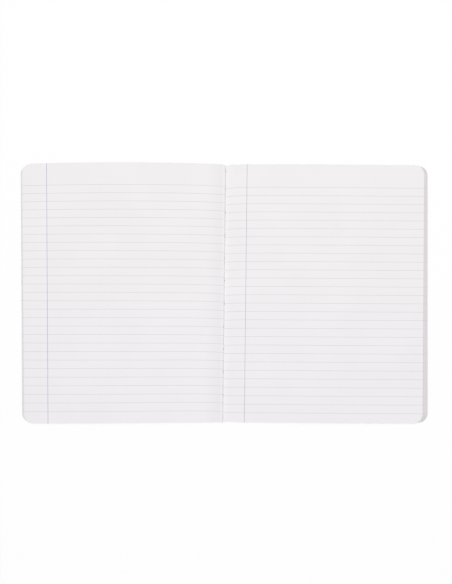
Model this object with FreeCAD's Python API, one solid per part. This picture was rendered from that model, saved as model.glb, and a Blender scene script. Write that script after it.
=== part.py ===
import FreeCAD, Part
import math
import os

# Open composition notebook: folded sheets sewn through the middle, two flush cover boards and a cloth
# tape along the spine. It lies open at its middle pages, flat on its covers.
# Millimetres. X runs across the spread, Y up the page and Z up from the table. The origin is the middle
# of the face that lies on the table.

# The trimmed book, laid open
page_height = 245.6
cover_reach = 195.0
corner_radius = 9.0

# Cloth tape on the outside of the spine
tape_thickness = 0.3
tape_reach = 28.0

# Cover boards
board_thickness = 0.7
board_clearance = 0.6

# Folded sheets, one inside the next
folded_sheets = 40
leaf_thickness = 0.08
fold_squeeze = 0.7
fold_half_width = 1.2
fold_shoulder = 1.4

# How far the top leaf stops short of the lowest one at each fore-edge, because the inner sheets of a
# flush-trimmed book are the narrower ones
left_creep_head = 2.9
left_creep_tail = 3.5
right_creep_head = 4.8
right_creep_tail = 7.0

# Plan of the spread: the left page lies turned a little anticlockwise and its head edge bows out, the
# head and tail edges of the right page slope down to the fore-edge, and the fold sits a little towards the
# tail, so it is notched at the head and pointed at the tail
left_head_bow = 1.4
left_page_turn = math.radians(0.33)
right_page_slope = math.radians(0.38)
head_notch_depth = 1.6
tail_point_depth = 0.7
fold_bend_width = 4.0

# Line of the fold, which runs from right of the middle at the head to left of it at the tail
fold_offset = 0.55
fold_lean = math.radians(0.66)

# Left page surface, heights over the board: a steep fall into the fold, a crest beside it, a belly and
# a gentle slope to the fore-edge
left_fall_out = 0.2
left_fall_rise = 2.4
left_crest_out = 3.2
left_crest_height = 4.5
left_crest_slope = 0.04
left_belly_out = 125.0
left_belly_height = 7.5
left_edge_stack = 4.6

# Right page surface, the same way, with a gentle rise out of the fold
right_fall_out = 5.0
right_fall_rise = 0.25
right_crest_out = 20.0
right_crest_height = 4.5
right_crest_slope = 0.02
right_belly_out = 125.0
right_belly_height = 6.0
right_edge_stack = 4.2

# Sewing: two threads locked in slots through the fold
thread_diameter = 0.4
thread_clearance = 0.06
thread_end_setback = 0.3
thread_sides = 8
stitch_pitch = 21.76
tail_stitch_margin = 3.75
head_stitch_margin = 6.65
least_stitch_gap = 6.0
slot_length = 2.4
slot_width = 1.12
slot_point = 0.5
leg_out = 0.9
lock_out = 0.12
lock_side = 0.3
lock_gap = 0.56

board_top = tape_thickness + board_thickness
fold_stack = folded_sheets * leaf_thickness * fold_squeeze
crease_height = tape_thickness + fold_stack
right_drop = cover_reach * math.sin(right_page_slope)
left_drop = cover_reach * math.sin(left_page_turn)
left_lean = page_height * math.sin(left_page_turn)
spread_lift = (right_drop - left_head_bow) / 2
head_y = page_height / 2 + spread_lift
tail_y = -page_height / 2 + spread_lift
block_top = board_top + max(left_belly_height, right_belly_height)
inner_run_z = crease_height + thread_diameter / 2
outer_run_z = tape_thickness + thread_diameter / 2 + thread_clearance
lock_middle_z = (inner_run_z + outer_run_z) / 2
fold_swing = abs(fold_offset) + page_height / 2 * math.tan(abs(fold_lean))
board_gap = fold_swing + fold_half_width + fold_shoulder + board_clearance
section_overrun = 8.0
groove_overrun = 2.0


def point(x, y, z):
    """A point as a vector."""
    return FreeCAD.Vector(x, y, z)


def line(start, end):
    """A straight edge."""
    return Part.LineSegment(start, end).toShape()


def bezier(poles):
    """A Bezier edge on its poles."""
    curve = Part.BezierCurve()
    curve.setPoles(poles)
    return curve.toShape()


def fold_x(y):
    """Where the fold lies across the spread at a height up the page."""
    return fold_offset + y * math.tan(fold_lean)


def corner(side, end, x_edge, y_edge):
    """Quarter circle that rounds an outer corner, from the fore-edge to the head or tail edge."""
    short = corner_radius * (1 - math.sqrt(0.5))
    start = (x_edge, y_edge - end * corner_radius)
    middle = (x_edge - side * short, y_edge - end * short)
    finish = (x_edge - side * corner_radius, y_edge)
    return start, middle, finish


def arc(points, level):
    """A circular edge through three plan points at one height."""
    start, middle, finish = [point(x, y, level) for x, y in points]
    return Part.Arc(start, middle, finish).toShape()


def spread_outline(level, bow):
    """Closed plan outline of the whole spread at a height over the table."""
    left_share = (level - board_top) / left_edge_stack
    right_share = (level - board_top) / right_edge_stack
    left_head_x = -cover_reach + left_share * left_creep_head
    left_tail_x = -cover_reach + left_lean + left_share * left_creep_tail
    right_head_x = cover_reach - right_share * right_creep_head
    right_tail_x = cover_reach - right_share * right_creep_tail
    head_right = corner(1, 1, right_head_x, head_y - right_drop)
    tail_right = corner(1, -1, right_tail_x, tail_y - right_drop)
    tail_left = corner(-1, -1, left_tail_x, tail_y - left_drop)
    head_left = corner(-1, 1, left_head_x, head_y)

    shallow_y = head_y - head_notch_depth / 4
    fold_head = point(fold_x(head_y), head_y - head_notch_depth, level)
    notch_right = point(fold_x(head_y) + fold_bend_width, shallow_y, level)
    notch_left = point(fold_x(head_y) - fold_bend_width, shallow_y, level)
    fold_tail = point(fold_x(tail_y), tail_y - tail_point_depth, level)
    tail_point_right = point(fold_x(tail_y) + fold_bend_width, tail_y, level)
    tail_point_left = point(fold_x(tail_y) - fold_bend_width, tail_y, level)
    head_left_end = point(*head_left[2], level)
    bow_pole = (head_left_end + notch_left) * 0.5 + point(0, 2 * bow, 0)

    edges = [
        line(fold_tail, tail_point_right),
        line(tail_point_right, point(*tail_right[2], level)),
        arc(tail_right[::-1], level),
        line(point(*tail_right[0], level), point(*head_right[0], level)),
        arc(head_right, level),
        line(point(*head_right[2], level), notch_right),
        line(notch_right, fold_head),
        line(fold_head, notch_left),
        bezier([notch_left, bow_pole, head_left_end]),
        arc(head_left[::-1], level),
        line(point(*head_left[0], level), point(*tail_left[0], level)),
        arc(tail_left, level),
        line(point(*tail_left[2], level), tail_point_left),
        line(tail_point_left, fold_tail),
    ]
    return Part.Wire(edges)


def page_surface(y, fall, crest, slope, belly, edge):
    """Top of one page's section from the crease at the fold to past the fore-edge.

    Each place is a distance across the spread, negative to the left, and a height over the table.
    """
    start = point(fold_x(y), y, crease_height)
    fall_pole = start + point(fall[0], 0, fall[1])
    top = point(fold_x(y) + crest[0], y, crest[1])
    before = top - point(crest[0] * 0.45, 0, abs(crest[0]) * 0.45 * slope)
    after = top + point(crest[0] * 3, 0, abs(crest[0]) * 3 * slope)
    belly_pole = point(belly[0], y, belly[1])
    end = point(edge[0], y, edge[1])
    past = end + (end - belly_pole).normalize() * section_overrun
    bend = bezier([start, fall_pole, before, top])
    sweep = bezier([top, after, belly_pole, end])
    return [bend, sweep, line(end, past)], past


def left_surface(y):
    """Top of the left page's section."""
    return page_surface(
        y,
        fall=(-left_fall_out, left_fall_rise),
        crest=(-left_crest_out, board_top + left_crest_height),
        slope=left_crest_slope,
        belly=(-left_belly_out, board_top + left_belly_height),
        edge=(-cover_reach, board_top + left_edge_stack),
    )


def right_surface(y):
    """Top of the right page's section."""
    return page_surface(
        y,
        fall=(right_fall_out, right_fall_rise),
        crest=(right_crest_out, board_top + right_crest_height),
        slope=right_crest_slope,
        belly=(right_belly_out, board_top + right_belly_height),
        edge=(cover_reach, board_top + right_edge_stack),
    )


def block_section(y):
    """Closed section of the sheets across the spread: pages above, boards below, fold in between."""
    left_top, left_end = left_surface(y)
    right_top, right_end = right_surface(y)
    middle = fold_x(y)
    shoulder = fold_half_width + fold_shoulder
    underside = [
        right_end,
        point(right_end.x, y, board_top),
        point(middle + shoulder, y, board_top),
        point(middle + fold_half_width, y, tape_thickness),
        point(middle - fold_half_width, y, tape_thickness),
        point(middle - shoulder, y, board_top),
        point(left_end.x, y, board_top),
        left_end,
    ]
    below = [line(a, b) for a, b in zip(underside, underside[1:])]
    return Part.Wire(right_top + below + left_top[::-1])


def stitches():
    """Heights up the page of the slits: evenly spaced from the tail, then a last one near the head."""
    lowest = tail_y + tail_stitch_margin
    highest = head_y - head_stitch_margin
    regular = int((highest - lowest - least_stitch_gap) / stitch_pitch) + 1
    return [lowest + stitch_pitch * i for i in range(regular)] + [highest]


def thread_path(run_z, lock_z, side):
    """Centre line of one thread, tail to head: straight along the fold, with a lock in every slot."""
    first_y = tail_y + thread_end_setback
    last_y = head_y - head_notch_depth - thread_end_setback
    path = [point(fold_x(first_y), first_y, run_z)]
    for y in stitches():
        path += [
            point(fold_x(y - leg_out), y - leg_out, run_z),
            point(fold_x(y) - side * lock_side, y - lock_out, lock_z),
            point(fold_x(y) + side * lock_side, y + lock_out, lock_z),
            point(fold_x(y + leg_out), y + leg_out, run_z),
        ]
    path.append(point(fold_x(last_y), last_y, run_z))
    return path


def thread_ring(centre, direction, diameter):
    """Many-sided ring that stands for a thread's round section."""
    ahead = FreeCAD.Vector(direction).normalize()
    across = ahead.cross(point(0, 0, 1)).normalize()
    up = across.cross(ahead)
    corners = []
    for i in range(thread_sides):
        turn = 2 * math.pi * (i + 0.5) / thread_sides
        corners.append(centre + (across * math.cos(turn) + up * math.sin(turn)) * (diameter / 2))
    return Part.makePolygon(corners + corners[:1])


def rod(path, diameter):
    """Thread along straight runs, mitred where they meet."""
    pipe = Part.BRepOffsetAPI.MakePipeShell(Part.makePolygon(path))
    pipe.setTransitionMode(1)
    pipe.add(thread_ring(path[0], path[1] - path[0], diameter))
    pipe.build()
    pipe.makeSolid()
    return pipe.shape()


def inner_thread():
    """Thread that lies in the crease between the middle pages."""
    return rod(thread_path(inner_run_z, lock_middle_z - lock_gap / 2, 1), thread_diameter)


def outer_thread():
    """Thread that lies along the back of the fold, under the tape."""
    return rod(thread_path(outer_run_z, lock_middle_z + lock_gap / 2, -1), thread_diameter)


def stitch_slot(y):
    """Slit through the fold for one lock, long up the page and pointed at both ends."""
    half_width = slot_width / 2
    half_length = slot_length / 2
    shoulder = half_length - slot_point
    plan = [
        (0, half_length),
        (half_width, shoulder),
        (half_width, -shoulder),
        (0, -half_length),
        (-half_width, -shoulder),
        (-half_width, shoulder),
        (0, half_length),
    ]
    outline = Part.makePolygon([point(fold_x(y) + dx, y + dy, 0) for dx, dy in plan])
    return Part.Face(outline).extrude(point(0, 0, block_top))


def fold_groove(run_z):
    """Straight groove along the fold for a thread's runs."""
    start = point(fold_x(tail_y - groove_overrun), tail_y - groove_overrun, run_z)
    finish = point(fold_x(head_y + groove_overrun), head_y + groove_overrun, run_z)
    ring = thread_ring(start, finish - start, thread_diameter + 2 * thread_clearance)
    return Part.Face(ring).extrude(finish - start)


def text_block():
    """All the folded sheets as one solid, with the slots and grooves for the sewing."""
    tail_section = block_section(tail_y - section_overrun)
    head_section = block_section(head_y + section_overrun)
    bar = Part.makeLoft([tail_section, head_section], True, True)
    low = spread_outline(0.0, left_head_bow)
    high = spread_outline(block_top, left_head_bow)
    trim = Part.makeLoft([low, high], True, True)
    block = bar.common(trim)
    cuts = [stitch_slot(y) for y in stitches()]
    cuts += [fold_groove(inner_run_z), fold_groove(outer_run_z)]
    return block.cut(cuts)


def flush_sheet(bottom, thickness, x_from, x_to):
    """Flat piece trimmed flush with the lowest leaf, between two lines along the spine."""
    outline = spread_outline(board_top, 0.0)
    outline.translate(point(0, 0, bottom - board_top))
    sheet = Part.Face(outline).extrude(point(0, 0, thickness))
    corner_point = point(x_from, tail_y - section_overrun, bottom - thickness)
    keep = Part.makeBox(x_to - x_from, page_height + 2 * section_overrun, 3 * thickness, corner_point)
    return sheet.common(keep)


def front_cover():
    """Board under the left-hand pages, from the joint at the spine to the fore-edge."""
    return flush_sheet(tape_thickness, board_thickness, -cover_reach - section_overrun, -board_gap)


def back_cover():
    """Board under the right-hand pages, from the joint at the spine to the fore-edge."""
    return flush_sheet(tape_thickness, board_thickness, board_gap, cover_reach + section_overrun)


def spine_tape():
    """Cloth tape glued across the spine on to both boards."""
    return flush_sheet(0.0, tape_thickness, -tape_reach, tape_reach)


def single_solid(shape):
    """The one solid of a shape, with needless seams between faces taken out."""
    return shape.removeSplitter().Solids[0]


os.makedirs("parts", exist_ok=True)
pieces = {
    "text_block": text_block(),
    "front_cover": front_cover(),
    "back_cover": back_cover(),
    "spine_tape": spine_tape(),
    "inner_thread": inner_thread(),
    "outer_thread": outer_thread(),
}
for name, shape in pieces.items():
    solid = single_solid(shape)
    solid.exportStep(f"parts/{name}.step")
    box = solid.optimalBoundingBox()
    print(
        name,
        "valid" if solid.isValid() else "NOT VALID",
        f"solids {len(shape.Solids)}, volume {solid.Volume:.1f} mm3,",
        f"x {box.XMin:.2f} {box.XMax:.2f}, y {box.YMin:.2f} {box.YMax:.2f}, z {box.ZMin:.2f} {box.ZMax:.2f}",
    )
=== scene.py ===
import logging
import math
from dataclasses import dataclass, field
from enum import Enum, auto
from typing import Iterable, Sequence

import bmesh
import bpy
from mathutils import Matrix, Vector


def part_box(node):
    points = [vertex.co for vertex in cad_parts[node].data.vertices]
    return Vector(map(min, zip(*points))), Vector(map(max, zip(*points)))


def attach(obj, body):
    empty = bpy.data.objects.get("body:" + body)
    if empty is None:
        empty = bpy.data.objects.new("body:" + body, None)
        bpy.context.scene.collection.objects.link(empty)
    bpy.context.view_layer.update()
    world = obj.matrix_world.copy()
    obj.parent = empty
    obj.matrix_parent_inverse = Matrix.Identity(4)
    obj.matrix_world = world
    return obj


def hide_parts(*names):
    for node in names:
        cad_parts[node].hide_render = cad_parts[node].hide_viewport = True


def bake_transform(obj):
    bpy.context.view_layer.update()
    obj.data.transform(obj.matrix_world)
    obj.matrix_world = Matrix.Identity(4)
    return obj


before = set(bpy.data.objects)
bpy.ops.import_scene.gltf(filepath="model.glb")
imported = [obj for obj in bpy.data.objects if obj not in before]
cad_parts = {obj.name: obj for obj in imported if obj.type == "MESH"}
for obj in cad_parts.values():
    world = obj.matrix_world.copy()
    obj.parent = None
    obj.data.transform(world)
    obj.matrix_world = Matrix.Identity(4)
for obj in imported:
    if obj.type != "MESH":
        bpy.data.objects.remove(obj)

# Dresses an open composition notebook: forty folded sheets sewn through the middle, two
# pressboard covers and a cloth tape along the spine. Everything is in metres, in the frame of
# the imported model.

MM = 0.001
PAGE_WIDTH = 192.0 * MM  # As printed, from the fold to the fore-edge.
PAGE_HEIGHT = 245.6 * MM
CORNER = 9.0 * MM  # Radius of the rounded corners.
SHARP = math.radians(60)  # Edges that turn more than this are shaded as cuts.
HALVINGS = 26  # Steps that find a point on a curve.
WHITE = (1.0, 1.0, 1.0, 1.0)
PLACE = "page_place"  # Mesh attribute that says where a point lies on its sheet.
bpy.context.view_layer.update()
log = logging.getLogger("notebook")

Colour = tuple[float, float, float, float]
Material = bpy.types.Material
Piece = bpy.types.Object
Socket = bpy.types.NodeSocket
Value = Socket | float
BMesh = bmesh.types.BMesh


class Side(Enum):
    """The two pages of the spread, as the direction from the fold to the fore-edge."""

    LEFT = -1
    RIGHT = 1


class Body(Enum):
    """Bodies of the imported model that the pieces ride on."""

    BLOCK = "book_block"
    FRONT = "front_cover_board"
    BACK = "back_cover_board"


class Column(Enum):
    """What the place of a mesh column is given by."""

    CREASE = auto()  # The middle of the fold.
    SLIT = auto()  # The parted side of the crease.
    FOLD = auto()  # A distance from the fold.
    SPAN = auto()  # A share of the way from the fold's zone to the corner.
    EDGE = auto()  # A distance from the fore-edge.


Mark = tuple[Column, float]
Line = tuple[Side, Column, float]


def tone(red: float, green: float, blue: float) -> Colour:
    """Turns a colour from 0 to 255, as a screen shows it, into a shader's linear one."""
    channels = []
    for value in (red, green, blue):
        share = value / 255
        channels.append(share / 12.92 if share <= 0.04045 else ((share + 0.055) / 1.055) ** 2.4)
    return (channels[0], channels[1], channels[2], 1.0)


def lerp(start: float, end: float, share: float) -> float:
    """The value at a share of the way from start to end."""
    return start + (end - start) * share


def hold(share: float) -> float:
    """A share held between 0 and 1."""
    return min(max(share, 0.0), 1.0)


def ease(share: float) -> float:
    """A share held between 0 and 1 that starts and ends gently."""
    held = hold(share)
    return held * held * (3 - 2 * held)


def ease_in(share: float, first: float = 0.55) -> float:
    """A share whose steps start short, at first of their mean length, and grow."""
    return share * lerp(first, 1.0, share)


def quarter(steps: int) -> list[float]:
    """Shares of a corner's radius at which its arc is cut into even steps, largest first."""
    return [1 - math.sin(math.pi / 2 * i / steps) for i in range(steps + 1)]


def curve_height(poles: Sequence[tuple[float, float]], out: float) -> float:
    """Height of a cubic curve at a distance out."""

    def at(share: float, axis: int) -> float:
        return sum(
            math.comb(3, i) * pole[axis] * (1 - share) ** (3 - i) * share**i
            for i, pole in enumerate(poles)
        )

    low, high = 0.0, 1.0
    for _ in range(HALVINGS):
        middle = (low + high) / 2
        if at(middle, 0) < out:
            low = middle
        else:
            high = middle
    return at((low + high) / 2, 1)


@dataclass(frozen=True)
class Fade:
    """An eased change from one value to another.

    Attributes:
        low: Where the change begins.
        high: Where it is complete.
        start: The value before it.
        end: The value after it.
    """

    low: float
    high: float
    start: float = 0.0
    end: float = 1.0


@dataclass(frozen=True)
class Grain:
    """A noise pattern.

    Attributes:
        size: Size of its grains.
        detail: Octaves of finer noise.
        stretch: Scale along each axis of the place that it is read at.
    """

    size: float
    detail: float
    stretch: tuple[float, float, float] = (1.0, 1.0, 1.0)


class Bench:
    """The node tree of a material or world, with short calls to add and wire nodes."""

    def __init__(self, owner: Material | bpy.types.World) -> None:
        """Opens the node tree."""
        owner.use_nodes = True
        self.owner = owner
        self.nodes = owner.node_tree.nodes

    def add(self, kind: str) -> bpy.types.Node:
        """Adds one node of a kind."""
        return self.nodes.new(kind)

    def wire(self, source: Socket | float | Colour, target: Socket) -> None:
        """Links a socket to an input, or writes a plain value into it."""
        if isinstance(source, bpy.types.NodeSocket):
            self.owner.node_tree.links.new(source, target)
        else:
            target.default_value = source

    def calc(self, operation: str, *values: Value) -> Socket:
        """One Math node."""
        node = self.add("ShaderNodeMath")
        node.operation = operation
        for value, target in zip(values, node.inputs):
            self.wire(value, target)
        return node.outputs[0]

    def times(self, value: Value, factor: Value) -> Socket:
        """A product."""
        return self.calc("MULTIPLY", value, factor)

    def minus(self, value: Value, less: Value) -> Socket:
        """A difference."""
        return self.calc("SUBTRACT", value, less)

    def blend(self, share: Value, under: Socket | Colour, over: Socket | Colour) -> Socket:
        """Mixes two colours by a share."""
        node = self.add("ShaderNodeMix")
        node.data_type = "RGBA"
        self.wire(share, node.inputs["Factor"])
        self.wire(under, node.inputs[6])
        self.wire(over, node.inputs[7])
        return node.outputs[2]

    def fade(self, value: Socket, fade: Fade) -> Socket:
        """Maps a value by a fade."""
        node = self.add("ShaderNodeMapRange")
        node.interpolation_type = "SMOOTHSTEP"
        numbers = (fade.low, fade.high, fade.start, fade.end)
        for number, target in zip(numbers, node.inputs[1:5]):
            target.default_value = number
        self.wire(value, node.inputs[0])
        return node.outputs[0]

    def place(self) -> Socket:
        """The point on the piece, in its own metres."""
        return self.add("ShaderNodeTexCoord").outputs["Object"]

    def attribute(self, name: str) -> Socket:
        """A vector that the mesh carries on its points."""
        node = self.add("ShaderNodeAttribute")
        node.attribute_name = name
        return node.outputs["Vector"]

    def axes(self, vector: Socket) -> tuple[Socket, Socket, Socket]:
        """A vector's three parts."""
        node = self.add("ShaderNodeSeparateXYZ")
        self.wire(vector, node.inputs[0])
        return node.outputs[0], node.outputs[1], node.outputs[2]

    def noise(self, place: Socket, grain: Grain) -> Socket:
        """Noise from 0 to 1, read at a place."""
        mapping = self.add("ShaderNodeMapping")
        mapping.inputs["Scale"].default_value = grain.stretch
        self.wire(place, mapping.inputs["Vector"])
        node = self.add("ShaderNodeTexNoise")
        node.inputs["Scale"].default_value = 1 / grain.size
        node.inputs["Detail"].default_value = grain.detail
        self.wire(mapping.outputs[0], node.inputs["Vector"])
        return node.outputs["Fac"]

    def relief(self, height: Socket, depth: float, under: Socket | None = None) -> Socket:
        """Bump whose full height is a depth in metres, over another bump if one is given."""
        node = self.add("ShaderNodeBump")
        node.inputs["Distance"].default_value = depth
        self.wire(height, node.inputs["Height"])
        if under is not None:
            self.wire(under, node.inputs["Normal"])
        return node.outputs[0]

    def finish(self, colour: Socket, normal: Socket, roughness: float, gloss: float) -> Material:
        """Wires the material's shader and hands the material over."""
        shader = self.nodes["Principled BSDF"]
        self.wire(colour, shader.inputs["Base Color"])
        self.wire(normal, shader.inputs["Normal"])
        self.wire(roughness, shader.inputs["Roughness"])
        self.wire(gloss, shader.inputs["Specular IOR Level"])
        return self.owner


@dataclass(frozen=True)
class PageRuling:
    """Where one page is printed, measured on the sheet itself.

    Attributes:
        lowest: Height of the lowest rule over the tail edge.
        pitch: Mean distance from rule to rule.
        tightening: How much the rules draw together towards the head at the fold, for each
            rule squared.
        outer_tightening: How much more they do so at the fore-edge.
        margin: Place of the margin line across from the fold, as printed.
        margin_ink: Colour of the margin line.
    """

    lowest: float
    pitch: float
    tightening: float
    outer_tightening: float
    margin: float
    margin_ink: Colour


@dataclass(frozen=True)
class RuledPaper:
    """White writing paper with pale rules from edge to edge and a violet margin line.

    Attributes:
        soft_edge: Width over which ink fades into paper.
        wear: How the fibres break up the ink.
        painted_gutter_shade: Strip beside the fold, on the left page, painted a little darker as
            shade towards the gutter.
        painted_fold_light: Narrower strip in the fold, painted lighter as painted light on the
            steep fall into the crease.
        rim_start: Distance from the cut outline at which the painted shade of the fanned leaf edges
            starts.
        side_only: Where that tone starts, past the corner's centre.
    """

    left: PageRuling = PageRuling(
        lowest=11.15 * MM, pitch=7.912 * MM, tightening=0.0050 * MM,
        outer_tightening=0.0062 * MM, margin=-168.7 * MM, margin_ink=tone(148, 133, 210))
    right: PageRuling = PageRuling(
        lowest=9.38 * MM, pitch=7.927 * MM, tightening=0.0060 * MM,
        outer_tightening=0.0010 * MM, margin=20.5 * MM, margin_ink=tone(166, 157, 194))
    rules: int = 28
    rule_width: float = 0.30 * MM
    margin_width: float = 0.36 * MM
    soft_edge: float = 0.06 * MM
    # Painted light: the paper is tinted warmer towards the head and cooler towards the tail, a
    # painted colour cast of the light.
    paper_warm_lit_head: Colour = tone(242.6, 239.7, 239.9)
    paper_cool_lit_tail: Colour = tone(242.0, 240.0, 242.6)
    paper_shade: Colour = tone(238, 235.6, 237.4)
    # Painted shade: colour of the darker strip beside the fold on the left page.
    gutter_shade_tone: Colour = tone(234, 231.5, 233.4)
    # Painted light: colour of the lighter strip on the left page's fall into the crease.
    fold_light_tone: Colour = tone(250, 248, 250)
    rule_ink: Colour = tone(212, 208, 217)
    # Painted shade on the fanned leaf edges: lighter on the left, darker on the right, darker still
    # at the right-hand corners.
    left_fan_shade: Colour = tone(230, 227, 229)
    right_fan_shade: Colour = tone(222, 218, 220)
    corner_fan_shade: Colour = tone(214, 212, 214)
    fibre: Grain = Grain(0.35 * MM, 3.0, (1.0, 0.45, 1.0))
    cloud: Grain = Grain(45 * MM, 2.0)
    cockle: Grain = Grain(60 * MM, 1.0, (1.0, 0.5, 0.0))
    fibre_depth: float = 0.006 * MM
    cockle_depth: float = 0.35 * MM
    wear: Fade = Fade(0.25, 0.55, 0.72, 1.0)
    clouding: Fade = Fade(0.35, 0.65, 0.0, 0.35)
    fibre_shade: Fade = Fade(0.3, 0.7, 0.0, 0.22)
    painted_gutter_shade: Fade = Fade(2 * MM, 20 * MM, 0.6, 0.0)
    painted_fold_light: Fade = Fade(0.6 * MM, 4 * MM, 0.5, 0.0)
    rim_start: float = 0.3 * MM
    rim_full: float = 0.1 * MM
    side_only: Fade = Fade(2 * MM, 5 * MM)
    corner_only: Fade = Fade(0.5 * MM, 3 * MM)
    roughness: float = 0.86
    gloss: float = 0.22

    def printed(self, bench: Bench, distance: Socket, width: float) -> Socket:
        """Ink cover of a line, from 1 on it to 0 beside it."""
        half = width / 2
        return bench.fade(distance, Fade(half - self.soft_edge, half + self.soft_edge, 1.0, 0.0))

    def per_page(self, bench: Bench, on_left: Socket, name: str) -> Socket:
        """A value of the ruling, by its name, that differs from page to page."""
        left, right = getattr(self.left, name), getattr(self.right, name)
        return bench.calc("MULTIPLY_ADD", on_left, left - right, right)

    def ruled(self, bench: Bench, across: Socket, up: Socket, on_left: Socket) -> Socket:
        """Ink cover of the rules.

        Rule n lies first * n - squeeze * n * n over the lowest one, where first is the
        distance between the lowest rules. That is solved for n at each point.
        """
        names = ("lowest", "pitch", "tightening", "outer_tightening")
        lowest, pitch, inner, outer = (self.per_page(bench, on_left, name) for name in names)
        share = bench.calc("POWER", bench.calc("DIVIDE", across, PAGE_WIDTH), 2.0)
        squeeze = bench.calc("MULTIPLY_ADD", outer, share, inner)
        first = bench.calc("MULTIPLY_ADD", squeeze, self.rules - 1.0, pitch)
        lost = bench.times(bench.times(bench.minus(up, lowest), squeeze), 4.0)
        squared = bench.minus(bench.times(first, first), lost)
        root = bench.calc("SQRT", bench.calc("MAXIMUM", squared, 0.0))
        count = bench.calc("DIVIDE", bench.minus(first, root), bench.times(squeeze, 2.0))
        distance = bench.times(bench.calc("PINGPONG", count, 0.5), self.left.pitch)
        started = bench.calc("GREATER_THAN", count, -0.5)
        ended = bench.calc("LESS_THAN", count, self.rules - 0.5)
        cover = self.printed(bench, distance, self.rule_width)
        return bench.times(cover, bench.times(started, ended))

    def margin_line(self, bench: Bench, across: Socket, on_left: Socket) -> Socket:
        """Ink cover of the margin line."""
        beside = bench.minus(across, self.per_page(bench, on_left, "margin"))
        return self.printed(bench, bench.calc("ABSOLUTE", beside), self.margin_width)

    def painted_fan_shade(
        self, bench: Bench, out: Socket, up: Socket, on_left: Socket
    ) -> tuple[Socket, Socket]:
        """Cover and colour of the painted shade on the fanned leaf edges at the fore-edge and the
        corners.
        """
        half = PAGE_HEIGHT / 2
        past_side = bench.minus(out, PAGE_WIDTH - CORNER)
        past_side = bench.calc("MAXIMUM", past_side, 0.0)
        past_end = bench.calc("ABSOLUTE", bench.minus(up, half))
        past_end = bench.calc("MAXIMUM", bench.minus(past_end, half - CORNER), 0.0)
        squares = bench.times(past_end, past_end)
        squares = bench.calc("MULTIPLY_ADD", past_side, past_side, squares)
        band = Fade(CORNER - self.rim_start, CORNER - self.rim_full)
        rim = bench.fade(bench.calc("SQRT", squares), band)
        rim = bench.times(rim, bench.fade(past_side, self.side_only))
        at_corner = bench.fade(past_end, self.corner_only)
        right_fan_shade = bench.blend(at_corner, self.right_fan_shade, self.corner_fan_shade)
        return rim, bench.blend(on_left, right_fan_shade, self.left_fan_shade)

    def material(self) -> Material:
        """Builds the material."""
        bench = Bench(bpy.data.materials.new("ruled_paper"))
        across, up, _ = bench.axes(bench.attribute(PLACE))
        out = bench.calc("ABSOLUTE", across)
        on_left = bench.calc("LESS_THAN", across, 0.0)
        place = bench.place()
        fibre = bench.noise(place, self.fibre)
        worn = bench.fade(fibre, self.wear)

        # Painted light: a warm cast towards the head and a cool one towards the tail.
        to_head = bench.fade(up, Fade(0.0, PAGE_HEIGHT))
        sheet = bench.blend(to_head, self.paper_cool_lit_tail, self.paper_warm_lit_head)
        clouds = bench.fade(bench.noise(place, self.cloud), self.clouding)
        sheet = bench.blend(clouds, sheet, self.paper_shade)
        sheet = bench.blend(bench.fade(fibre, self.fibre_shade), sheet, self.paper_shade)
        # Painted shade in a strip beside the fold on the left page, and painted light on its
        # narrower fall into the crease.
        for strip, colour in ((self.painted_gutter_shade, self.gutter_shade_tone), (self.painted_fold_light, self.fold_light_tone)):
            sheet = bench.blend(bench.times(bench.fade(out, strip), on_left), sheet, colour)
        # Painted shade on the fanned leaf edges at the fore-edge and the corners.
        rim, cut = self.painted_fan_shade(bench, out, up, on_left)
        sheet = bench.blend(rim, sheet, cut)

        rule = bench.times(self.ruled(bench, across, up, on_left), worn)
        sheet = bench.blend(rule, sheet, self.rule_ink)
        margin = bench.times(self.margin_line(bench, across, on_left), worn)
        ink = bench.blend(on_left, self.right.margin_ink, self.left.margin_ink)
        sheet = bench.blend(margin, sheet, ink)
        waves = bench.relief(bench.noise(place, self.cockle), self.cockle_depth)
        relief = bench.relief(fibre, self.fibre_depth, waves)
        return bench.finish(sheet, relief, self.roughness, self.gloss)


@dataclass(frozen=True)
class Pressboard:
    """Dark pressboard with a grey core, lined with white paper on the inside.

    Attributes:
        outer: Height of the outer face over the table.
        inner: Height of the inner face over the table.
        skin: Depth of the dark face and of the lining.
    """

    outer: float
    inner: float
    skin: float = 0.07 * MM
    dark: Colour = tone(44, 44, 47)
    dark_fleck: Colour = tone(62, 62, 66)
    core: Colour = tone(150, 146, 140)
    lining: Colour = tone(226, 224, 222)
    fibre: Grain = Grain(0.5 * MM, 4.0, (1.0, 0.3, 1.0))
    mottle: Grain = Grain(2.2 * MM, 3.0)
    flecks: Fade = Fade(0.45, 0.75)
    core_flecks: Fade = Fade(0.35, 0.7, 0.0, 0.5)
    fibre_depth: float = 0.03 * MM
    mottle_depth: float = 0.04 * MM
    roughness: float = 0.52
    gloss: float = 0.4

    def material(self) -> Material:
        """Builds the material, layered by height in the board."""
        bench = Bench(bpy.data.materials.new("pressboard"))
        place = bench.place()
        _, _, height = bench.axes(place)
        fibre = bench.noise(place, self.fibre)
        mottle = bench.noise(place, self.mottle)
        dark = bench.blend(bench.fade(fibre, self.flecks), self.dark, self.dark_fleck)
        core = bench.blend(bench.fade(mottle, self.core_flecks), self.core, self.dark_fleck)
        lined = bench.calc("GREATER_THAN", height, self.inner - self.skin)
        faced = bench.calc("LESS_THAN", height, self.outer + self.skin)
        colour = bench.blend(faced, bench.blend(lined, core, self.lining), dark)
        grain = bench.relief(fibre, self.fibre_depth, bench.relief(mottle, self.mottle_depth))
        return bench.finish(colour, grain, self.roughness, self.gloss)


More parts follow.
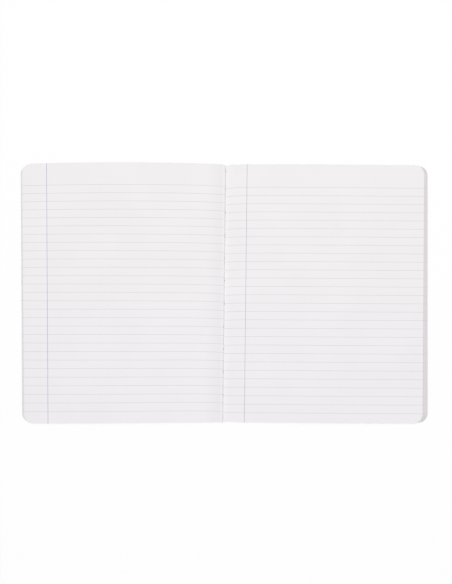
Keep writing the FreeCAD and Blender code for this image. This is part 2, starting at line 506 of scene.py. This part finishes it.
@dataclass(frozen=True)
class BookCloth:
    """Black cotton book cloth in plain weave, filled and glued.

    Attributes:
        yarn: Distance from yarn to yarn.
        slub: Grain of the yarns' thick places.
        slub_share: Height of those over the weave's.
    """

    yarn: float = 0.42 * MM
    high: Colour = tone(50, 50, 53)
    low: Colour = tone(24, 24, 27)
    slub: Grain = Grain(1.1 * MM, 3.0, (1.0, 0.15, 1.0))
    slub_share: float = 0.4
    shade: Fade = Fade(0.3, 1.3)
    depth: float = 0.06 * MM
    roughness: float = 0.72
    gloss: float = 0.3

    def material(self) -> Material:
        """Builds the weave from two sets of yarns that pass over each other in turn."""
        bench = Bench(bpy.data.materials.new("book_cloth"))
        place = bench.place()
        across, along, _ = bench.axes(place)
        warp = bench.calc("DIVIDE", across, self.yarn)
        weft = bench.calc("DIVIDE", along, self.yarn)
        cells = bench.calc("ADD", bench.calc("FLOOR", warp), bench.calc("FLOOR", weft))
        over = bench.calc("PINGPONG", cells, 1.0)
        warp_round, weft_round = (
            bench.calc("SINE", bench.times(bench.calc("FRACT", yarns), math.pi))
            for yarns in (warp, weft)
        )
        under = bench.times(bench.minus(1.0, over), weft_round)
        weave = bench.calc("ADD", bench.times(over, warp_round), under)
        slub = bench.noise(place, self.slub)
        height = bench.calc("MULTIPLY_ADD", slub, self.slub_share, weave)
        # Painted shade: the weave is coloured darker where its yarns lie low, between the
        # crossings, and lighter on their tops.
        colour = bench.blend(bench.fade(height, self.shade), self.low, self.high)
        relief = bench.relief(height, self.depth)
        return bench.finish(colour, relief, self.roughness, self.gloss)


@dataclass(frozen=True)
class SewingThread:
    """White polyester thread."""

    light: Colour = tone(238, 238, 242)
    dull: Colour = tone(212, 212, 220)
    fibre: Grain = Grain(0.25 * MM, 3.0, (6.0, 1.0, 6.0))
    shade: Fade = Fade(0.3, 0.7)
    depth: float = 0.02 * MM
    roughness: float = 0.55
    gloss: float = 0.4

    def material(self) -> Material:
        """Builds the material."""
        bench = Bench(bpy.data.materials.new("sewing_thread"))
        fibre = bench.noise(bench.place(), self.fibre)
        colour = bench.blend(bench.fade(fibre, self.shade), self.light, self.dull)
        relief = bench.relief(fibre, self.depth)
        return bench.finish(colour, relief, self.roughness, self.gloss)


@dataclass(frozen=True)
class PageProfile:
    """Section of one page's top surface, from the crease out to the fore-edge.

    Attributes:
        fall_out: How far out the surface leaves the crease before it bends.
        fall_rise: How far up it does so.
        crest_out: Distance of the crest from the fold; heights are over the board.
        belly_out: Place of the belly across the spread.
        edge_stack: Height of the stack at the fore-edge.
        creep_head: How far the top leaf stops short of the lowest at the head.
        creep_tail: The same at the tail.
        inset: How far the fore-edge stays within the spread's reach.
        drop: How far the page's outer corners lie below those at the fold.
        lean: How far the fore-edge leans in from the head to the tail.
        gaps: Shares of the stack at which its leaves part into clumps.
        gap_share: Share of the stack that each parting takes.
    """

    fall_out: float
    fall_rise: float
    crest_out: float
    crest_height: float
    crest_slope: float
    belly_out: float
    belly_height: float
    edge_stack: float
    creep_head: float
    creep_tail: float
    inset: float
    drop: float
    lean: float
    gaps: tuple[float, ...]
    gap_share: float

    @classmethod
    def in_mm(
        cls, crest_slope: float, gaps: tuple[float, ...], gap_share: float, **lengths: float
    ) -> "PageProfile":
        """Makes a profile whose lengths are given in millimetres."""
        metres = {name: length * MM for name, length in lengths.items()}
        return cls(crest_slope=crest_slope, gaps=gaps, gap_share=gap_share, **metres)


@dataclass(frozen=True)
class Spread:
    """Plan and section of the open book, which every sheet is laid out by.

    Attributes:
        reach: From the spine's middle to the fore-edge of the lowest leaf.
        board_top: Height of the boards' inner faces.
        tape_top: Height of the tape's inner face.
        fold_stack: Height of the crease between the middle pages, over the tape.
        fold_half_width: Half the width that the fold's back lies flat on the tape.
        fold_shoulder: Width over which the lowest sheet climbs onto the boards.
        print_bow: Height of the bow in its upper rules.
        bend_width: Distance from the fold over which both run out.
        inner_run: Length of the crest's handle towards the fold, over the crest's distance.
    """

    reach: float = 195.0 * MM
    board_top: float = 1.0 * MM
    tape_top: float = 0.3 * MM
    fold_stack: float = 2.24 * MM
    fold_half_width: float = 1.2 * MM
    fold_shoulder: float = 1.4 * MM
    fold_offset: float = 0.55 * MM
    fold_lean: float = math.radians(0.66)
    head_bow: float = 1.4 * MM
    print_bow: float = 0.95 * MM
    notch_depth: float = 1.6 * MM
    point_depth: float = 0.7 * MM
    bend_width: float = 4.0 * MM
    inner_run: float = 0.45
    outer_run: float = 3.0
    left: PageProfile = PageProfile.in_mm(
        fall_out=0.05, fall_rise=2.8, crest_out=1.8, crest_height=4.5, crest_slope=0.04,
        belly_out=125.0, belly_height=7.5, edge_stack=4.6, creep_head=2.9, creep_tail=3.5,
        inset=0.45, drop=1.123, lean=1.415, gaps=(0.42,), gap_share=0.05)
    right: PageProfile = PageProfile.in_mm(
        fall_out=5.0, fall_rise=0.25, crest_out=20.0, crest_height=4.5, crest_slope=0.02,
        belly_out=125.0, belly_height=6.0, edge_stack=4.2, creep_head=4.5, creep_tail=6.2,
        inset=0.0, drop=1.293, lean=0.0, gaps=(0.33, 0.68), gap_share=0.07)

    @property
    def lift(self) -> float:
        """How far the spread's middle lies up the page from the origin."""
        return (self.right.drop - self.head_bow) / 2

    @property
    def head(self) -> float:
        """Head edge at the fold, before the notch."""
        return PAGE_HEIGHT / 2 + self.lift

    @property
    def tail(self) -> float:
        """Tail edge at the fold, before the point."""
        return -PAGE_HEIGHT / 2 + self.lift

    def page(self, side: Side) -> PageProfile:
        """The profile of one page."""
        return self.left if side is Side.LEFT else self.right

    def fold_x(self, y: float) -> float:
        """Place of the fold across the spread."""
        return self.fold_offset + y * math.tan(self.fold_lean)

    def edge_x(self, side: Side, y: float, share: float) -> float:
        """Fore-edge of a leaf.

        Args:
            side: Its page.
            y: Height up the page.
            share: The leaf's place in the stack, 0 at the board and 1 on top.

        Returns:
            The place across the spread.
        """
        page = self.page(side)
        up = hold((y - self.tail) / PAGE_HEIGHT)
        creep = lerp(page.creep_tail, page.creep_head, up)
        return side.value * (self.reach - page.inset - page.lean * (1 - up) - creep * share)

    def straight(self, side: Side, x: float, end_y: float) -> float:
        """Share of the way from the fold to where the corner's curve starts."""
        start = self.fold_x(end_y)
        stop = side.value * (self.reach - CORNER)
        return hold((x - start) / (stop - start))

    def printed_tail(self, side: Side, x: float) -> float:
        """Line along the tail that the ruling follows."""
        return self.tail - self.page(side).drop * self.straight(side, x, self.tail)

    def tail_y(self, side: Side, x: float) -> float:
        """Tail edge at a place across the spread, without the corner."""
        beside = min(abs(x - self.fold_x(self.tail)) / self.bend_width, 1.0)
        return self.printed_tail(side, x) - self.point_depth * (1 - beside)

    def head_drop(self, side: Side) -> float:
        """How far the head edge falls from the fold to the corner."""
        return self.right.drop if side is Side.RIGHT else 0.0

    def bowed(self, side: Side, x: float, bow: float) -> float:
        """How far a bow lifts the head edge of the left page."""
        if side is Side.RIGHT:
            return 0.0
        out = abs(x - self.fold_x(self.head)) - self.bend_width
        share = hold(out / (self.reach - CORNER - self.bend_width))
        return 4 * bow * share * (1 - share)

    def printed_head(self, side: Side, x: float) -> float:
        """Line along the head that the ruling follows."""
        level = self.head - self.head_drop(side) * self.straight(side, x, self.head)
        return level + self.bowed(side, x, self.print_bow)

    def trim_y(self, side: Side, x: float) -> float:
        """Head edge of the boards and the tape at a place across, without the corner."""
        out = abs(x - self.fold_x(self.head))
        shallow = self.notch_depth / 4
        if out < self.bend_width:
            return self.head - lerp(self.notch_depth, shallow, out / self.bend_width)
        fall = lerp(shallow, self.head_drop(side), self.straight(side, x, self.head))
        return self.head - fall

    def head_y(self, side: Side, x: float) -> float:
        """Head edge of the sheets at a place across the spread, without the corner."""
        return self.trim_y(side, x) + self.bowed(side, x, self.head_bow)

    def corner_drop(self, distance: float) -> float:
        """How far the corner cuts back the head or tail edge, at a distance from the side."""
        if distance >= CORNER:
            return 0.0
        rise = CORNER**2 - (CORNER - distance) ** 2
        return CORNER - math.sqrt(max(rise, 0.0))

    def top(self, side: Side, x: float, y: float) -> float:
        """Height of the spread's top surface."""
        page = self.page(side)
        fold = self.fold_x(y)
        out = abs(x - fold)
        crest = self.board_top + page.crest_height
        if out <= page.crest_out:
            crease = self.tape_top + self.fold_stack
            run = page.crest_out * self.inner_run
            bend = [
                (0.0, crease),
                (page.fall_out, crease + page.fall_rise),
                (page.crest_out - run, crest - run * page.crest_slope),
                (page.crest_out, crest),
            ]
            return curve_height(bend, out)
        start = page.crest_out + side.value * fold
        run = page.crest_out * self.outer_run
        sweep = [
            (start, crest),
            (start + run, crest + run * page.crest_slope),
            (page.belly_out, self.board_top + page.belly_height),
            (self.reach, self.board_top + page.edge_stack),
        ]
        return curve_height(sweep, side.value * x)

    def bottom(self, x: float, y: float) -> float:
        """Height of the stack's underside."""
        out = abs(x - self.fold_x(y))
        rise = (out - self.fold_half_width) / self.fold_shoulder
        return lerp(self.tape_top, self.board_top, hold(rise))


@dataclass(frozen=True)
class Stitching:
    """Slits through the fold, and the thread in the crease, twisted from two plies.

    Attributes:
        least_gap: Least distance of the slit before the highest one from it.
        least_half_width: Half the width that the crease is parted to between slits.
        opening: How much sooner than the slit's middle it is open in full.
        leg_out: Distance from a slit's middle at which the thread starts to dip.
        end_setback: How far it stops short of the tail and of the head's notch.
        twist: Length of one twist of its plies.
        step: Distance between the points of a ply.
    """

    spread: Spread
    pitch: float = 21.76 * MM
    tail_margin: float = 3.75 * MM
    head_margin: float = 6.65 * MM
    least_gap: float = 6.0 * MM
    half_length: float = 1.2 * MM
    half_width: float = 0.30 * MM
    least_half_width: float = 0.12 * MM
    opening: float = 1.25
    diameter: float = 0.38 * MM
    leg_out: float = 0.95 * MM
    dip: float = 1.35 * MM
    end_setback: float = 0.4 * MM
    twist: float = 1.5 * MM
    step: float = 0.14 * MM

    def places(self) -> list[float]:
        """Heights of the slits up the page."""
        lowest = self.spread.tail + self.tail_margin
        highest = self.spread.head - self.head_margin
        regular = int((highest - lowest - self.least_gap) / self.pitch) + 1
        return [lowest + self.pitch * i for i in range(regular)] + [highest]

    def nearest(self, y: float) -> float:
        """Distance to the middle of the nearest slit."""
        return min(abs(y - place) for place in self.places())

    def open_width(self, y: float) -> float:
        """Half width that the crease is parted to."""
        share = 1 - min(self.nearest(y) / self.half_length, 1.0)
        return lerp(self.least_half_width, self.half_width, ease(share * self.opening))

    def rows(self, steps: int) -> list[float]:
        """Heights of the mesh rows that the slits need."""
        offsets = [self.half_length * i / steps for i in range(-steps, steps + 1)]
        return [place + offset for place in self.places() for offset in offsets]

    def strand(self, turn: float) -> list[Vector]:
        """Path of one ply, tail to head, from where it starts round the thread."""
        first = self.spread.tail + self.end_setback
        last = self.spread.head - self.spread.notch_depth - self.end_setback
        rest = self.spread.tape_top + self.spread.fold_stack + self.diameter / 2
        lay = self.diameter / 4
        points = []
        for i in range(int((last - first) / self.step) + 1):
            y = first + self.step * i
            share = 1 - min(self.nearest(y) / self.leg_out, 1.0)
            sunk = self.dip * ease(share)
            angle = turn + 2 * math.pi * y / self.twist
            x = self.spread.fold_x(y) + lay * math.cos(angle)
            points.append(Vector((x, y, rest - sunk + lay * math.sin(angle))))
        return points

    def crease_thread(self, finish: Material) -> Piece:
        """The thread in the crease, as two plies wound round each other."""
        curve = bpy.data.curves.new("crease_thread_path", "CURVE")
        curve.dimensions = "3D"
        curve.bevel_depth = self.diameter / 4
        curve.bevel_resolution = 1
        curve.use_fill_caps = True
        for turn in (0.0, math.pi):
            points = self.strand(turn)
            spline = curve.splines.new("POLY")
            spline.points.add(len(points) - 1)
            for target, point in zip(spline.points, points):
                target.co = (*point, 1.0)
        guide = bpy.data.objects.new("crease_thread_path", curve)
        bpy.context.scene.collection.objects.link(guide)
        bpy.context.view_layer.update()
        bm = bmesh.new()
        bm.from_mesh(bpy.data.meshes.new_from_object(guide))
        bpy.data.objects.remove(guide)
        return make_piece("crease_thread", bm, finish, True)


def thicken(bm: BMesh, faces: Sequence[bmesh.types.BMFace], thickness: float) -> None:
    """Gives a flat sheet its thickness, straight down from its upper face."""
    under = {vert for face in faces for vert in face.verts}
    bmesh.ops.extrude_face_region(bm, geom=list(faces), use_keep_orig=True)
    bmesh.ops.reverse_faces(bm, faces=list(faces))
    bmesh.ops.translate(bm, verts=list(under), vec=(0.0, 0.0, -thickness))
    bm.normal_update()


def make_piece(name: str, bm: BMesh, material: Material, smooth: bool) -> Piece:
    """Turns a mesh, which it frees, into a piece at the origin.

    Args:
        name: The piece's name.
        bm: Its mesh.
        material: Its finish.
        smooth: Whether its faces are shaded smoothly.

    Returns:
        The piece.
    """
    for face in bm.faces:
        face.smooth = smooth
    for edge in bm.edges:
        edge.smooth = edge.calc_face_angle(0.0) < SHARP
    mesh = bpy.data.meshes.new(name)
    bm.to_mesh(mesh)
    bm.free()
    mesh.materials.append(material)
    piece = bpy.data.objects.new(name, mesh)
    bpy.context.scene.collection.objects.link(piece)
    return piece


@dataclass(frozen=True)
class SheetStack:
    """The folded sheets, each one piece of paper from fore-edge to fore-edge.

    Attributes:
        leaf: Thickness of the paper as it lies squeezed.
        zone: How far from the fold the rows follow the slits.
        print_drift: How far the ruling wanders from sheet to sheet.
        drift_turn: Turn of that wandering from sheet to sheet.
        print_droop: How far the ruling sags towards the tail at the fold.
        droop_reach: Distance from the fold over which it does so.
        clump_start: Share of the page, from the fold out, at which the leaves start to clump.
        run_rows: Rows between two slits of the middle sheet.
    """

    spread: Spread
    stitching: Stitching
    paper: Material
    sheets: int = 40
    leaf: float = 0.05 * MM
    zone: float = 4.0 * MM
    print_drift: float = 0.22 * MM
    drift_turn: float = 2.4
    print_droop: float = 1.0 * MM
    droop_reach: float = 12.0 * MM
    clump_start: float = 0.3
    corner_steps: int = 10
    middle_near: tuple[float, ...] = (0.36 * MM, 0.6 * MM, 1.0 * MM, 1.8 * MM, 2.8 * MM)
    lower_near: tuple[float, ...] = (0.4 * MM, 0.8 * MM, 1.5 * MM, 2.6 * MM)
    middle_spans: int = 22
    lower_spans: int = 18
    run_rows: int = 4

    def clumped(self, side: Side, share: float) -> float:
        """A leaf's place in the stack at the fore-edge, where the leaves part into clumps."""
        page = self.spread.page(side)
        packed = share * (1 - page.gap_share * len(page.gaps))
        return packed + page.gap_share * sum(share > gap for gap in page.gaps)

    def height(self, side: Side, x: float, y: float, share: float) -> float:
        """Height of a sheet's upper face."""
        spread = self.spread
        low = spread.bottom(x, y) + self.leaf
        fold = spread.fold_x(y)
        out = abs(x - fold)
        parted = self.stitching.open_width(y) * max(1 - out / self.zone, 0.0)
        top = spread.top(side, fold + side.value * max(out - parted, 0.0), y)
        clumping = ease(out / spread.reach * (1 + self.clump_start) - self.clump_start)
        return lerp(low, top, lerp(share, self.clumped(side, share), clumping))

    def column_x(self, side: Side, mark: Mark, y: float, share: float) -> float:
        """Place across the spread of a mesh column.

        Args:
            side: The page that it lies on.
            mark: What its place is given by, and the distance or share.
            y: Height up the page.
            share: The sheet's place in the stack.

        Returns:
            The place across.
        """
        kind, value = mark
        fold = self.spread.fold_x(y)
        edge = self.spread.edge_x(side, y, self.clumped(side, share))
        if kind in (Column.FOLD, Column.CREASE):
            return fold + side.value * value
        if kind is Column.SLIT:
            return fold + side.value * self.stitching.open_width(y)
        if kind is Column.EDGE:
            return edge - side.value * value
        start = fold + side.value * self.zone
        return lerp(start, edge - side.value * CORNER, value)

    def end_y(self, side: Side, mark: Mark, share: float, at_head: bool) -> float:
        """Height at which a column meets the head or the tail edge of its sheet."""
        spread = self.spread
        cut = spread.corner_drop(mark[1] if mark[0] is Column.EDGE else CORNER)
        x = self.column_x(side, mark, spread.head if at_head else spread.tail, share)
        return spread.head_y(side, x) - cut if at_head else spread.tail_y(side, x) + cut

    def printed_place(self, side: Side, x: float, y: float, share: float, number: int) -> Vector:
        """Where a point lies on its sheet as printed: across from the fold, up from the tail."""
        spread = self.spread
        fold = spread.fold_x(y)
        edge = spread.edge_x(side, y, self.clumped(side, share))
        across = side.value * PAGE_WIDTH * (x - fold) / (edge - fold)
        low, high = spread.printed_tail(side, x), spread.printed_head(side, x)
        up = PAGE_HEIGHT * (y - low) / (high - low)
        up += self.print_droop * math.exp(-abs(x - fold) / self.droop_reach)
        up += self.print_drift * math.sin(self.drift_turn * number)
        return Vector((across, up, 0.0))

    def page_marks(self, near: Iterable[float], spans: int, inner: bool, outer: bool) -> list[Mark]:
        """Columns of one page's mesh, from the fold outwards.

        Args:
            near: Distances from the fold of the columns beside it.
            spans: Columns between the fold's zone and the corner.
            inner: Whether the columns at the fold are wanted.
            outer: Whether those out to the fore-edge are.

        Returns:
            The columns.
        """
        found: list[Mark] = []
        if inner:
            found += [(Column.SLIT, 0.0)] + [(Column.FOLD, value) for value in near]
        found.append((Column.FOLD, self.zone))
        if outer:
            found += [(Column.SPAN, ease_in(i / spans)) for i in range(1, spans)]
            found += [(Column.EDGE, CORNER * cut) for cut in quarter(self.corner_steps)]
        return found

    def whole(self, near: Iterable[float], spans: int, outer: bool) -> list[Line]:
        """Columns of a sheet, from the left page over the fold to the right one."""
        marks = self.page_marks(near, spans, True, outer)
        left = [(Side.LEFT, *mark) for mark in reversed(marks)]
        right = [(Side.RIGHT, *mark) for mark in marks]
        return left + [(Side.RIGHT, Column.CREASE, 0.0)] + right

    def lay(self, bm: BMesh, lines: Sequence[Line], rows: Sequence[float], number: int) -> None:
        """Lays one grid of paper into the spread and gives it its thickness.

        Args:
            bm: The mesh that it is added to.
            lines: Its columns, left to right.
            rows: Heights of its inner rows; the tail and head edges are added.
            number: The sheet's number, 0 for the lowest.
        """
        spread = self.spread
        share = number / (self.sheets - 1)
        across, along = len(lines) - 1, len(rows) + 1
        place = bm.verts.layers.float_vector[PLACE]
        grid = bmesh.ops.create_grid(bm, x_segments=across, y_segments=along, size=1.0)["verts"]
        in_fold: dict[bmesh.types.BMVert, bool] = {}
        for vert in grid:
            side, *mark = lines[round((vert.co.x + 1) / 2 * across)]
            j = round((vert.co.y + 1) / 2 * along)
            in_fold[vert] = mark[0] in (Column.SLIT, Column.CREASE)
            if j in (0, along):
                y = self.end_y(side, mark, share, j == along)
            else:
                y = rows[j - 1]
                if mark[0] in (Column.EDGE, Column.SPAN):
                    low = self.end_y(side, mark, share, False)
                    high = self.end_y(side, mark, share, True)
                    y = lerp(low, high, (y - spread.tail) / PAGE_HEIGHT)
            x = self.column_x(side, mark, y, share)
            vert.co = Vector((x, y, self.height(side, x, y, share)))
            vert[place] = self.printed_place(side, x, y, share, number)
        faces = list(dict.fromkeys(face for vert in grid for face in vert.link_faces))
        holes = [
            face
            for face in faces
            if all(in_fold[vert] for vert in face.verts)
            and self.stitching.nearest(face.calc_center_median().y) < self.stitching.half_length
        ]
        bmesh.ops.delete(bm, geom=holes, context="FACES_ONLY")
        thicken(bm, [face for face in faces if face.is_valid], self.leaf)

    def middle_sheet(self) -> Piece:
        """The sheet that lies on top, with the two pages that show."""
        bm = bmesh.new()
        bm.verts.layers.float_vector.new(PLACE)
        slit_rows = self.stitching.rows(3)
        rows = list(slit_rows)
        for low, high in zip(slit_rows, slit_rows[1:]):
            if high - low > self.stitching.half_length * 3:
                rows += [lerp(low, high, i / self.run_rows) for i in range(1, self.run_rows)]
        lines = self.whole(self.middle_near, self.middle_spans, True)
        self.lay(bm, lines, sorted(rows), self.sheets - 1)
        return make_piece("middle_sheet", bm, self.paper, True)

    def lower_sheets(self) -> Piece:
        """All the sheets under the middle one."""
        bm = bmesh.new()
        bm.verts.layers.float_vector.new(PLACE)
        rows = self.stitching.rows(2)
        for number in range(self.sheets - 1):
            self.lay(bm, self.whole(self.lower_near, 1, False), rows, number)
            for side in Side:
                marks = self.page_marks(self.lower_near, self.lower_spans, False, True)
                lines = [(side, *mark) for mark in marks]
                self.lay(bm, lines[::-1] if side is Side.LEFT else lines, [], number)
        return make_piece("lower_sheets", bm, self.paper, False)


@dataclass(frozen=True)
class CoverBoard:
    """One cover board, trimmed flush with the leaves, its cut edges slightly rounded.

    Attributes:
        node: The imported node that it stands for.
    """

    spread: Spread
    side: Side
    name: str
    node: str
    material: Material
    thickness: float = 0.7 * MM
    cut_round: float = 0.09 * MM
    corner_steps: int = 12

    def build(self) -> Piece:
        """Cuts the board, rounds its edges and dresses it."""
        low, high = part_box(self.node)
        spread, side = self.spread, self.side
        inner = high.x if side is Side.LEFT else low.x
        insets = [spread.reach] + [CORNER * cut for cut in quarter(self.corner_steps)]
        if side is Side.LEFT:
            insets = insets[::-1]
        last = len(insets) - 1
        bm = bmesh.new()
        grid = bmesh.ops.create_grid(bm, x_segments=last, y_segments=1, size=1.0)["verts"]
        for vert in grid:
            inset = insets[round((vert.co.x + 1) / 2 * last)]
            at_head = vert.co.y > 0
            edge = spread.edge_x(side, spread.head if at_head else spread.tail, 0.0)
            x = inner if inset == spread.reach else edge - side.value * inset
            cut = spread.corner_drop(inset)
            y = spread.trim_y(side, x) - cut if at_head else spread.tail_y(side, x) + cut
            vert.co = Vector((x, y, high.z))
        thicken(bm, bm.faces[:], self.thickness)
        rims = [edge for edge in bm.edges if edge.calc_face_angle(0.0) > SHARP]
        bmesh.ops.bevel(
            bm, geom=rims, offset=self.cut_round, segments=2, profile=0.5, affect="EDGES",
            material=-1,
        )
        bmesh.ops.recalc_face_normals(bm, faces=bm.faces[:])
        piece = make_piece(self.name, bm, self.material, False)
        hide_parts(self.node)
        return piece


@dataclass(frozen=True)
class SpineTape:
    """The cloth tape, in two halves, one on each side of the middle.

    Attributes:
        bend_start: Distance from the middle at which the tape leaves the sheets' back.
        bend_end: Distance at which it is glued to a board.
        before: How far before the bend its columns become fine.
        behind: How far behind the bend they stay fine.
        fine: Distance between them there.
        coarse: Number of columns out to its edge.
    """

    spread: Spread
    material: Material
    bend_start: float = 3.3 * MM
    bend_end: float = 5.1 * MM
    before: float = 1.0 * MM
    behind: float = 1.5 * MM
    fine: float = 0.3 * MM
    coarse: int = 6
    rows: int = 24

    def half(self, side: Side) -> Piece:
        """One half of the tape."""
        low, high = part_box("spine_tape")
        start, end = self.bend_start - self.before, self.bend_end + self.behind
        count = round((end - start) / self.fine)
        outs = [0.0, start / 2]
        outs += [lerp(start, end, i / count) for i in range(count + 1)]
        outs += [lerp(end, high.x, i / self.coarse) for i in range(1, self.coarse + 1)]
        if side is Side.LEFT:
            outs = outs[::-1]
        last = len(outs) - 1
        bm = bmesh.new()
        grid = bmesh.ops.create_grid(bm, x_segments=last, y_segments=self.rows, size=1.0)
        for vert in grid["verts"]:
            x = side.value * outs[round((vert.co.x + 1) / 2 * last)]
            tail, head = self.spread.tail_y(side, x), self.spread.trim_y(side, x)
            vert.co = Vector((x, lerp(tail, head, (vert.co.y + 1) / 2), high.z))
        thicken(bm, bm.faces[:], high.z - low.z)
        piece = make_piece(f"spine_tape_{side.name.lower()}", bm, self.material, False)
        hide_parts("spine_tape")
        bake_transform(piece)
        return piece


@dataclass
class Studio:
    """Pale floor, soft light from above and a camera that looks straight down.

    Attributes:
        page_scale: Pixels per metre in the photograph, at the level of the pages.
        frame_height: Height of the photograph in pixels.
        sky: Strength of the surroundings' light.
        floor_share: Share of plain white in the floor that the camera sees.
    """

    eye: Vector = field(default_factory=lambda: Vector((2.0 * MM, 0.975 * MM, 550 * MM)))
    page_scale: float = 1052.0
    page_level: float = 5.0 * MM
    frame_height: float = 584.0
    sensor: float = 36.0
    clip: tuple[float, float] = (0.01, 20.0)
    sky: float = 0.45
    floor_size: float = 6.0
    floor_level: float = -0.01 * MM
    floor_share: float = 0.8
    lamp_size: float = 0.8
    lamp_place: tuple[float, float, float] = (0.02, 0.25, 1.7)
    lamp_power: float = 17.0

    def camera(self) -> None:
        """Makes the camera, looking straight down."""
        data = bpy.data.cameras.new("camera")
        data.sensor_width = self.sensor
        focal_pixels = self.page_scale * (self.eye.z - self.page_level)
        data.lens = focal_pixels / self.frame_height * self.sensor
        data.clip_start, data.clip_end = self.clip
        camera = bpy.data.objects.new("camera", data)
        camera.location = self.eye
        bpy.context.scene.collection.objects.link(camera)
        bpy.context.scene.camera = camera

    def seen(self, bench: Bench) -> Socket:
        """1 where the camera looks, directly or by a mirror, else 0."""
        rays = bench.add("ShaderNodeLightPath").outputs
        return bench.calc("MAXIMUM", rays["Is Camera Ray"], rays["Is Glossy Ray"])

    def world(self) -> None:
        """Makes an even light all round, and white where the camera looks past the floor."""
        world = bpy.data.worlds.new("studio")
        bench = Bench(world)
        strength = bench.add("ShaderNodeMapRange")
        background = bench.nodes["Background"].inputs
        bench.wire(WHITE, background["Color"])
        bench.wire(self.sky, strength.inputs["To Min"])
        bench.wire(self.seen(bench), strength.inputs["Value"])
        bench.wire(strength.outputs["Result"], background["Strength"])
        bpy.context.scene.world = world

    def floor(self) -> None:
        """Makes the floor, which shows white and keeps the object's shadow."""
        bm = bmesh.new()
        bmesh.ops.create_grid(bm, x_segments=1, y_segments=1, size=self.floor_size)
        bmesh.ops.translate(bm, verts=bm.verts[:], vec=(0.0, 0.0, self.floor_level))
        material = bpy.data.materials.new("floor")
        bench = Bench(material)
        bench.nodes.remove(bench.nodes["Principled BSDF"])
        matt = bench.add("ShaderNodeBsdfDiffuse")
        glow = bench.add("ShaderNodeEmission")
        mix = bench.add("ShaderNodeMixShader")
        bench.wire(WHITE, matt.inputs["Color"])
        bench.wire(bench.times(self.seen(bench), self.floor_share), mix.inputs["Fac"])
        bench.wire(matt.outputs[0], mix.inputs[1])
        bench.wire(glow.outputs[0], mix.inputs[2])
        bench.wire(mix.outputs[0], bench.nodes["Material Output"].inputs["Surface"])
        make_piece("floor", bm, material, smooth=False)

    def lamp(self) -> None:
        """Makes one wide lamp above, a little towards the head and the right."""
        data = bpy.data.lights.new("window_lamp", "AREA")
        data.shape = "RECTANGLE"
        data.size = data.size_y = self.lamp_size
        data.energy = self.lamp_power
        lamp = bpy.data.objects.new("window_lamp", data)
        lamp.location = self.lamp_place
        lamp.rotation_euler = (-lamp.location).to_track_quat("-Z", "Y").to_euler()
        bpy.context.scene.collection.objects.link(lamp)

    def build(self) -> None:
        """Sets up everything that isn't the object."""
        self.camera()
        self.world()
        self.floor()
        self.lamp()
        bpy.context.scene.view_settings.view_transform = "Standard"


@dataclass(frozen=True)
class Notebook:
    """The whole book, assembled from its parts."""

    spread: Spread = Spread()

    def seat(self, piece: Piece, body: Body) -> None:
        """Puts a piece on its body and reports it."""
        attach(piece, body.value)
        log.info("%s: %d faces on %s", piece.name, len(piece.data.polygons), body.value)

    def build(self) -> None:
        """Builds and dresses every piece."""
        stitching = Stitching(self.spread)
        stack = SheetStack(self.spread, stitching, RuledPaper().material())
        for sheet in (stack.lower_sheets(), stack.middle_sheet()):
            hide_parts("text_block")
            self.seat(sheet, Body.BLOCK)

        thread = SewingThread().material()
        sewn = stitching.crease_thread(thread)
        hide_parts("inner_thread")
        self.seat(sewn, Body.BLOCK)
        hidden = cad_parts["outer_thread"]
        hidden.data.materials.clear()
        hidden.data.materials.append(thread)

        low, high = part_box("front_cover")
        board = Pressboard(outer=low.z, inner=high.z).material()
        front = CoverBoard(self.spread, Side.LEFT, "front_board", "front_cover", board)
        back = CoverBoard(self.spread, Side.RIGHT, "back_board", "back_cover", board)
        self.seat(front.build(), Body.FRONT)
        self.seat(back.build(), Body.BACK)

        cloth = BookCloth().material()
        for side in Side:
            half = SpineTape(self.spread, cloth).half(side)
            log.info("%s: %d faces, bends with its cover", half.name, len(half.data.polygons))


def main() -> None:
    """Builds the notebook and its studio."""
    logging.basicConfig(level=logging.INFO, format="%(name)s %(message)s")
    Notebook().build()
    Studio().build()


if __name__ == "__main__":
    main()
